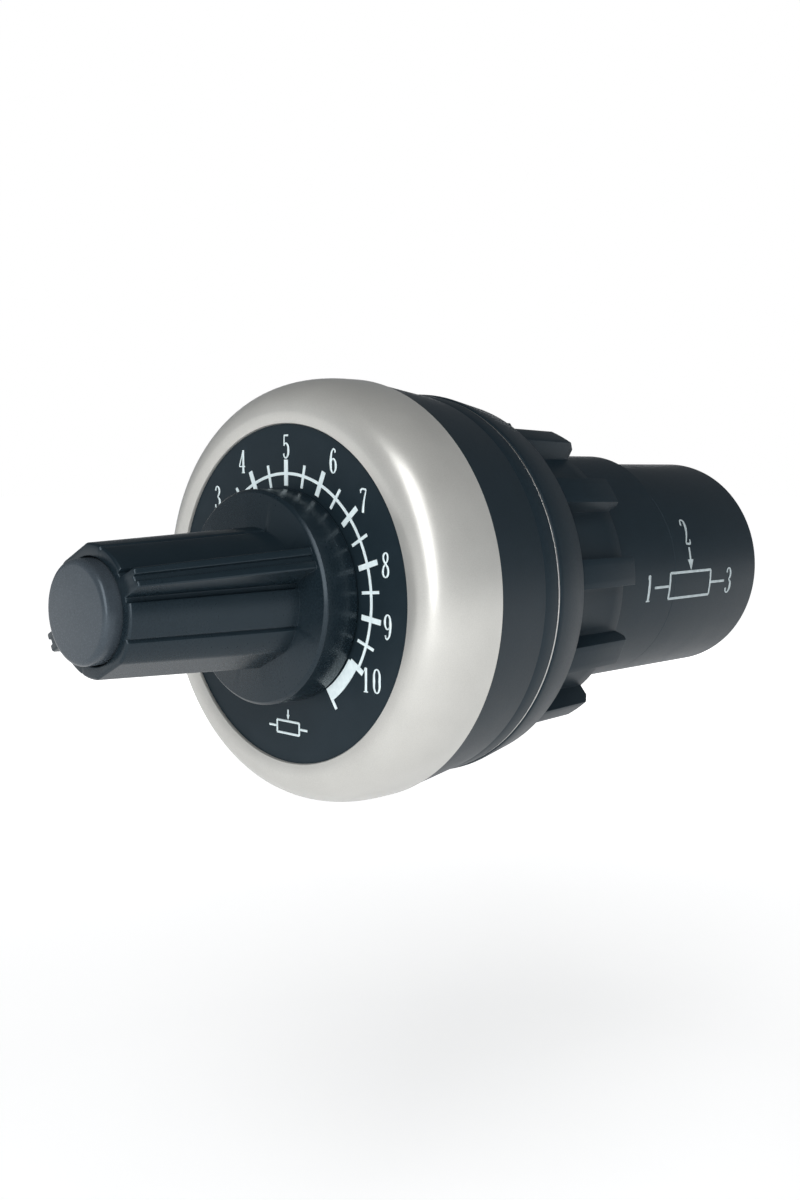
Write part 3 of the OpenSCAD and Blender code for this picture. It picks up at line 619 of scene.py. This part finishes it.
cap_line = [(POLE_R, CAP_FRONT), (CAP_FACE_R, CAP_FRONT)]
for i in range(1, 9):
    a = math.radians(90 * i / 8)
    cap_line.append((CAP_FACE_R + CAP_ROUND * math.sin(a), CAP_EDGE_Y - CAP_ROUND * math.cos(a)))
cap_line += [(3.25, CAP_SEAT), (2.15, CAP_SEAT), (2.15, CAP_FOOT), (POLE_R, CAP_FOOT), (POLE_R, CAP_FRONT)]
cap = eased(spun("knob_cap_plug", cap_line, 120), 0, angle=30)
placed(cap, "spindle", "cap_plastic", cap_grey(), "knob_cap")


# Pointer line: white paint in the crest groove of one rib, carried on over the collar's face and side.
# As the knob stands in the picture it is on the hidden side, close to the scale's first mark.
POINTER_CLOCK = RIB_CLOCK + 180


def strip(name, wide, front, rear):
    """A bar at the top from one [y, low, high] to another, in mm."""
    alone()
    bpy.ops.mesh.primitive_plane_add(size=1, rotation=(math.pi / 2, 0, 0))
    bar = bpy.context.active_object
    bar.name = name
    bar.scale = Vector((wide, front[2] - front[1], 1)) * MM
    bpy.ops.object.transform_apply(location=True, rotation=True, scale=True)
    edit_all()
    middle = (front[1] + front[2]) / 2
    bpy.ops.transform.translate(value=Vector((0, front[0], middle)) * MM)
    reach = Vector((0, rear[0] - front[0], (rear[1] + rear[2]) / 2 - middle)) * MM
    bpy.ops.mesh.extrude_region_move(TRANSFORM_OT_translate={"value": reach})
    bpy.ops.mesh.select_all(action="SELECT")
    bpy.ops.mesh.normals_make_consistent(inside=False)
    bpy.ops.object.mode_set(mode="OBJECT")
    return bar


line_bits = [strip("line", 0.34, (CHAMFER_Y, 5.09, 5.24), (COLLAR_Y, 6.50, 6.65)),
             strip("line", 0.40, (COLLAR_Y - 0.02, 6.50, 7.02), (COLLAR_Y + 0.1, 6.50, 7.02)),
             strip("line", 0.40, (COLLAR_Y + 0.1, 7.0, 7.2), (COLLAR_Y + 0.25, 7.0, 7.2)),
             strip("line", 0.40, (COLLAR_Y + 0.2, 7.1, 7.215), (-12.3, 7.1, 7.215))]
pointer = join("pointer", line_bits)
turn_to(pointer, POINTER_CLOCK)
placed(eased(pointer, 0.02, 1), "spindle", "white_print", ink, "pointer_line")


# Head and neck: one black nylon moulding with the spigot that centres it in the panel hole, five ring grooves
# that stand for the nut's thread, and the plain sleeve that the rear barrel plugs into.
# A low swelling runs along the sleeve's top.
def black_moulding():
    made, shader, at = finish("housing_black", gloss=0.22, tint=BLUE_SHEEN)
    grain = speckle(at, 7000, 3.0)
    cloud = speckle(at, 420)
    flow = speckle(at, 90, 1.0)
    colour = between(at, cloud * 0.6 + flow * 0.4, (0.006, 0.0125, 0.0175), (0.011, 0.0195, 0.0265))
    feed(shader, colour, 0.34 + grain * 0.10 + cloud * 0.08, grain, 0.000004)
    return made


housing_black = black_moulding()

NECK_END = 12.2
SLEEVE_END = 21.95
SLEEVE_R = 8.95
SLEEVE_BORE_R = 8.35
SWELL_R = 7.757
SWELL_TOP = 9.6
SPIGOT_END = 2.6
THREAD_R = 9.9
THREAD_ROOT_R = 9.76
THREAD_START = SPIGOT_END + 0.8
THREAD_PITCH = 1.5
STEP_R = 11.97
CAVITY_R = 11.97
CAVITY_FRONT = -8.8
WEB_FRONT = 13.5
WEB_REAR = 15.5

thread = []
for i in range(5):
    start = THREAD_START + THREAD_PITCH * i
    thread += [(THREAD_R, start), (THREAD_ROOT_R, start + 0.25)]
    thread += [(THREAD_ROOT_R, start + 0.65), (THREAD_R, start + 0.9)]
head_line = (
    [(SHAFT_HOLE_R, HEAD_FRONT), (13.65, HEAD_FRONT), (14.2, -9.9), (14.2, BEZEL_REAR), (14.62, BEZEL_REAR)]
    + [(14.69, -6.44), (13.96, -1.23), (13.93, -1.2), (STEP_R, -1.2), (STEP_R, -0.25), (11.0, -0.25)]
    + [(11.0, 2.52), (10.92, SPIGOT_END), (THREAD_R, SPIGOT_END)]
    + thread
    + [(THREAD_R, NECK_END - 0.1), (9.8, NECK_END), (SLEEVE_R, NECK_END), (SLEEVE_R, SLEEVE_END - 0.02)]
    + [(SLEEVE_R - 0.02, SLEEVE_END), (SLEEVE_BORE_R, SLEEVE_END), (SLEEVE_BORE_R, WEB_REAR)]
    + [(SHAFT_HOLE_R, WEB_REAR), (SHAFT_HOLE_R, WEB_FRONT)]
    + [(SLEEVE_BORE_R, WEB_FRONT), (SLEEVE_BORE_R, -1.8)]
    + [(CAVITY_R, -3.2), (CAVITY_R, CAVITY_FRONT), (SHAFT_HOLE_R, CAVITY_FRONT), (SHAFT_HOLE_R, HEAD_FRONT)]
)
head = spun("head", head_line, 180)
lift = SWELL_TOP - SWELL_R
for offset in range(0, 45, 2):
    a = math.radians(offset)
    swell = lift * math.cos(a) + math.sqrt(SWELL_R ** 2 - (lift * math.sin(a)) ** 2)
    if swell < SLEEVE_R:
        continue
    pick(head, "points", lambda r, y, turn: SLEEVE_R - 0.03 < r < SLEEVE_R + 0.01 and y > NECK_END - 0.01
         and abs(min(turn, 360 - turn) - offset) < 0.3)
    bpy.ops.transform.resize(value=(swell / SLEEVE_R, 1, swell / SLEEVE_R), center_override=(0, 0, 0))
bpy.ops.object.mode_set(mode="OBJECT")
placed(eased(head, 0, angle=30), "housing", "black_plastic", housing_black, "head_housing")


# Panel gasket: a flat black rubber ring, as wide as the head's rim, that keeps water off the panel hole.
# It is pressed on over the neck, lies round the head's step, and has a small lip round its outer edge.
def rubber():
    made, shader, at = finish("gasket_rubber", gloss=0.25, tint=BLUE_SHEEN)
    grain = speckle(at, 5000, 4.0)
    colour = between(at, grain, (0.006, 0.0125, 0.0175), (0.011, 0.0195, 0.0265))
    feed(shader, colour, 0.38 + grain * 0.14, grain, 0.000005)
    return made


RING_BORE_R = 12.02
GASKET_R = 13.93
GASKET_LIP_R = 13.76

gasket_line = [
    (RING_BORE_R, -1.2), (GASKET_R, -1.2), (GASKET_R, 0.2), (GASKET_LIP_R, 0.2), (GASKET_LIP_R, 0),
    (RING_BORE_R, 0), (RING_BORE_R, -1.2)]
gasket = eased(spun("gasket", gasket_line, 160), 0.03, 2)
placed(gasket, "housing", "gasket_rubber", rubber(), "panel_gasket")


# Thrust washer: a thin plated steel ring that lets the nut turn without dragging the panel.
# Its outer edge is turned out to a narrow lip, which shows as a bright line in front of the nut.
def bright_steel(name, dark, light, rough):
    made, shader, at = finish(name, metallic=1.0)
    grain = speckle(at, 3000, 4.0)
    cloud = speckle(at, 300)
    colour = between(at, cloud, dark, light)
    feed(shader, colour, rough + grain * 0.12, grain, 0.000003)
    return made


NUT_FRONT = 0.4

steel = bright_steel("plated_steel", (0.50, 0.50, 0.49), (0.68, 0.67, 0.65), 0.26)
ring_line = [
    (RING_BORE_R, 0), (13.72, 0), (13.72, 0.23), (13.9, 0.27), (13.9, NUT_FRONT), (RING_BORE_R, NUT_FRONT),
    (RING_BORE_R, 0)]
ring = eased(spun("thrust_ring", ring_line, 160), 0.03, 2)
placed(ring, "nut_washer", "bright_steel", steel, "thrust_washer")


# Mounting nut: a black moulded ring nut with a flange and twelve lugs, turned by hand or with a ring spanner.
# Its recess clears the spigot, so that it can pull the head down on a thin panel too.
LUG_FIRST = 20
LUG_PITCH = 30
LUG_WIDE = 10
HUB_R = 10.7
LUG_R = 12.4
LUG_KNEE_R = 12.15
LUG_TIP_R = 11.55
LUG_KNEE_Y = 11.0
KNEE_SHIFT = 0.65
NUT_END = 12.2
NUT_BORE_R = 9.95
RECESS_END = 2.85

nut_line = [
    (RING_BORE_R, NUT_FRONT), (13.91, NUT_FRONT), (13.97, 0.46), (13.97, 0.8), (13.46, 3.6), (13.25, 3.9),
    (HUB_R, 3.9), (HUB_R, LUG_KNEE_Y), (HUB_R, NUT_END), (NUT_BORE_R, NUT_END), (NUT_BORE_R, RECESS_END),
    (RING_BORE_R, RECESS_END), (RING_BORE_R, NUT_FRONT)]
nut = spun("nut", nut_line, 144)
pick(nut, "faces", lambda r, y, a: 10.5 < r < 10.8 and y > 4 and (a - LUG_FIRST) % LUG_PITCH < LUG_WIDE)
bpy.ops.mesh.extrude_region_move()
bpy.ops.transform.resize(value=(LUG_R / HUB_R, 1, LUG_R / HUB_R), center_override=(0, 0, 0))
pick(nut, "points", lambda r, y, a: r > 12 and y > 12.1)
bpy.ops.transform.resize(value=(LUG_TIP_R / LUG_R, 1, LUG_TIP_R / LUG_R), center_override=(0, 0, 0))
pick(nut, "points", lambda r, y, a: r > 12.2 and abs(y - LUG_KNEE_Y) < 0.05)
bpy.ops.transform.resize(value=(LUG_KNEE_R / LUG_R, 1, LUG_KNEE_R / LUG_R), center_override=(0, 0, 0))
bpy.ops.transform.translate(value=(0, KNEE_SHIFT * MM, 0))
bpy.ops.object.mode_set(mode="OBJECT")
placed(eased(nut, 0.07, 2, angle=32), "nut", "black_plastic", housing_black, "mounting_nut")


# Barrel: the rear cover that holds the element and the terminals, a black moulding plugged into the sleeve.
# A small wiring sign, a resistor with its three terminal numbers, is printed in faded white ink on its side
# and on the sleeve's.
BARREL_R = 8.95
BARREL_FRONT = 17.95
BARREL_END = 34.7
BARREL_FLOOR = 23.3

barrel_line = [
    (7.5, BARREL_FRONT), (8.3, BARREL_FRONT), (8.3, SLEEVE_END), (8.93, SLEEVE_END), (BARREL_R, 21.97),
    (BARREL_R, 34.28), (8.92, 34.45), (8.83, 34.6), (8.7, 34.68), (8.55, BARREL_END), (7.85, BARREL_END),
    (7.75, 34.6), (7.75, BARREL_FLOOR), (7.5, BARREL_FLOOR), (7.5, BARREL_FRONT)]
barrel = eased(spun("barrel", barrel_line, 160), 0, angle=30)
placed(barrel, "housing", "black_plastic", housing_black, "barrel_shell")

SIGN_CLOCK = 92
SIGN_Y = 24.2
SIGN_LIFT = 0.012


def faded_ink():
    made, shader, at = finish("faded_ink")
    grain = speckle(at, 12000, 3.0)
    wear = speckle(at, 1800)
    colour = between(at, wear, (0.24, 0.29, 0.31), (0.50, 0.57, 0.59))
    feed(shader, colour, 0.5 + grain * 0.15, grain, 0.000003)
    return made


sign_bits = resistor_sign(0.0, -0.6, 6.0, 2.1, 0.12)
for text, x, z in (("1", -5.9, -0.6), ("2", 0.0, 3.8), ("3", 5.9, -0.6)):
    sign_bits += figure(text, x, z, 2.2, 1.35)
sign = join("wiring_sign", sign_bits)
edit_all()
bpy.ops.mesh.subdivide(number_cuts=2)
bpy.ops.object.mode_set(mode="OBJECT")
for corner in sign.data.vertices:
    along, out, up = corner.co / MM
    corner.co = clock(SIGN_CLOCK - math.degrees(up / BARREL_R), BARREL_R + SIGN_LIFT - out, SIGN_Y + along)
edit_all()
bpy.ops.mesh.normals_make_consistent(inside=False)
bpy.ops.object.mode_set(mode="OBJECT")
placed(sign, "housing", "white_print", faded_ink())


# Terminal block: a black moulded floor in the barrel's end, with three walls that meet in a middle post and
# part the terminals. Each bay holds a brass plate, a clamp washer and a cross-slotted screw.
BAY_CLOCKS = (60, 180, 300)
BAY_R = 4.6
Y_BAY = 26.4
Y_WALLS = 33.9
Y_PLATE = 27.2
Y_CLAMP = 28.0
PLATE_WIDE = 4.8
PLATE_IN = 2.7
PLATE_OUT = 7.0
POST_R = 0.72

floor_line = [
    (POLE_R, BARREL_FLOOR), (7.62, BARREL_FLOOR), (7.7, 23.38), (7.7, 26.33), (7.63, Y_BAY), (POLE_R, Y_BAY),
    (POLE_R, BARREL_FLOOR)]
post_line = [(POLE_R, 26.0), (POST_R, 26.0), (POST_R, 33.88), (POLE_R, 33.88), (POLE_R, 26.0)]
block_bits = [spun("block_floor", floor_line, 120), spun("block_post", post_line, 48)]


def slab(name, wide, low, high, front, rear):
    """A block at the top, from radius low to high and from place front to rear, in mm."""
    return strip(name, wide, (front, low, high), (rear, low, high))


for bay in BAY_CLOCKS:
    wall = slab("wall", 1.2, 0.3, 7.6, Y_BAY - 0.05, Y_WALLS)
    turn_to(wall, bay + 180)
    block_bits.append(wall)
block = join("block", block_bits)
placed(eased(block, 0.12, 2), "housing", "black_plastic", housing_black, "terminal_block")


def plated_brass():
    made, shader, at = finish("plated_brass", metallic=1.0)
    grain = speckle(at, 2500, 4.0)
    stain = speckle(at, 260, 2.0)
    colour = between(at, stain, (0.52, 0.38, 0.17), (0.72, 0.56, 0.30))
    feed(shader, colour, 0.26 + grain * 0.14, grain, 0.000004)
    return made


brass = plated_brass()
screw_steel = bright_steel("screw_steel", (0.46, 0.46, 0.45), (0.66, 0.65, 0.63), 0.22)

screw_line = [
    (POLE_R, 24.4), (1.3, 24.4), (1.45, 24.55), (1.45, Y_CLAMP), (2.5, Y_CLAMP), (2.6, 28.1), (2.6, 28.7),
    (2.53, 29.08), (2.36, 29.4), (2.05, 29.64), (1.6, 29.77), (1.0, 29.8), (POLE_R, 29.8), (POLE_R, 24.4)]


def cut_away(piece, tool):
    """Takes one closed shape out of another."""
    chosen(piece)
    cut = piece.modifiers.new("cut", "BOOLEAN")
    cut.operation = "DIFFERENCE"
    cut.solver = "EXACT"
    cut.object = tool
    bpy.ops.object.modifier_apply(modifier="cut")
    bpy.data.objects.remove(tool)


for k, bay in enumerate(BAY_CLOCKS, 1):
    plate = slab(f"terminal_plate_{k}", PLATE_WIDE, PLATE_IN, PLATE_OUT, Y_BAY, Y_PLATE)
    tongue = slab("tongue", 1.4, 2.15, 2.8, Y_BAY, 27.15)
    plate = join(f"terminal_plate_{k}", [plate, tongue])
    turn_to(plate, bay)
    placed(eased(plate, 0.1, 2), "housing", "brass", brass, f"terminal_{k}")

    clamp = slab(f"clamp_{k}", PLATE_WIDE, PLATE_IN, PLATE_OUT, Y_PLATE, Y_CLAMP)
    pick(clamp, "faces", lambda r, y, a: y > Y_CLAMP - 0.1)
    bpy.ops.mesh.inset(thickness=0.35 * MM)
    bpy.ops.transform.translate(value=(0, -0.12 * MM, 0))
    turn_to(clamp, bay)
    placed(eased(clamp, 0.09, 2), f"clamp_{k}", "bright_steel", steel, f"clamp_washer_{k}")

    screw = spun(f"screw_{k}", screw_line, 64)
    for turn in (45, 135):
        blade = slab("blade", 0.7, -1.65, 1.65, 28.72, 30.2)
        turn_to(blade, turn)
        cut_away(screw, blade)
    edit_all()
    bpy.ops.transform.translate(value=(0, 0, BAY_R * MM))
    bpy.ops.object.mode_set(mode="OBJECT")
    turn_to(screw, bay)
    placed(eased(screw, 0.05, 2, angle=40), f"screw_{k}", "bright_steel", screw_steel, f"terminal_screw_{k}")


# Inner works: the steel shaft with its bush, clip and screw, the cast bushing with its nut, and the case
# with the wiper, the carbon track and the ring inside. They are plain turned and stamped pieces out of sight.
def cast_zinc():
    made, shader, at = finish("cast_zinc", metallic=0.9)
    grain = speckle(at, 2200, 5.0)
    colour = between(at, speckle(at, 240), (0.40, 0.39, 0.36), (0.55, 0.54, 0.50))
    feed(shader, colour, 0.42 + grain * 0.2, grain, 0.00001)
    return made


def moulded(name, dark, light, rough):
    made, shader, at = finish(name)
    grain = speckle(at, 4200, 3.0)
    colour = between(at, speckle(at, 320), dark, light)
    feed(shader, colour, rough + grain * 0.12, grain, 0.000005)
    return made


nylon = moulded("natural_nylon", (0.56, 0.53, 0.44), (0.70, 0.67, 0.58), 0.42)
phenolic = moulded("brown_phenolic", (0.11, 0.045, 0.02), (0.22, 0.095, 0.045), 0.5)
carbon = moulded("carbon_ink", (0.006, 0.006, 0.006), (0.016, 0.016, 0.017), 0.5)
zinc = cast_zinc()
inner = {
    "front_bearing": nylon, "knob_insert": brass, "knob_screw": screw_steel, "shaft": steel,
    "retaining_clip": screw_steel, "bushing_plate": zinc, "bushing_nut": steel, "lock_washer": screw_steel,
    "pot_case": steel, "wiper_carrier": phenolic, "wiper_spring": brass, "element_base": phenolic,
    "resistive_track": carbon, "collector_ring": brass}
for name, material in inner.items():
    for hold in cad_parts[name].material_slots:
        hold.material = material

# Floor: plain, pale and matt, far enough below that no hard shadow shows. It glows, less under the part
# than far off, so that it meets the white room without an edge.
FLOOR_Z = -0.06
GLOW_NEAR = 0.07
GLOW_FAR = 0.30
alone()
bpy.ops.mesh.primitive_plane_add(size=6, location=(0, 0, FLOOR_Z))
floor = bpy.context.active_object
floor.name = "floor"
pale, pale_shader, pale_at = finish("pale_floor")
feed(pale_shader, between(pale_at, speckle(pale_at, 30), (0.87, 0.87, 0.87), (0.9, 0.9, 0.9)),
     0.7 + speckle(pale_at, 200) * 0.1, speckle(pale_at, 200), 0.00001)
away = pale_at.node("VectorMath", {0: pale_at}, 1, operation="LENGTH")
spread = away.node("MapRange", {"Value": away, "From Min": GLOW_NEAR, "From Max": GLOW_FAR})
lit = between(pale_at, spread, (0.58, 0.58, 0.58), (0.92, 0.92, 0.92))
pale.node_tree.links.new(lit.socket, pale_shader.inputs["Emission Color"])
pale_shader.inputs["Emission Strength"].default_value = 1.0
floor.data.materials.append(pale)
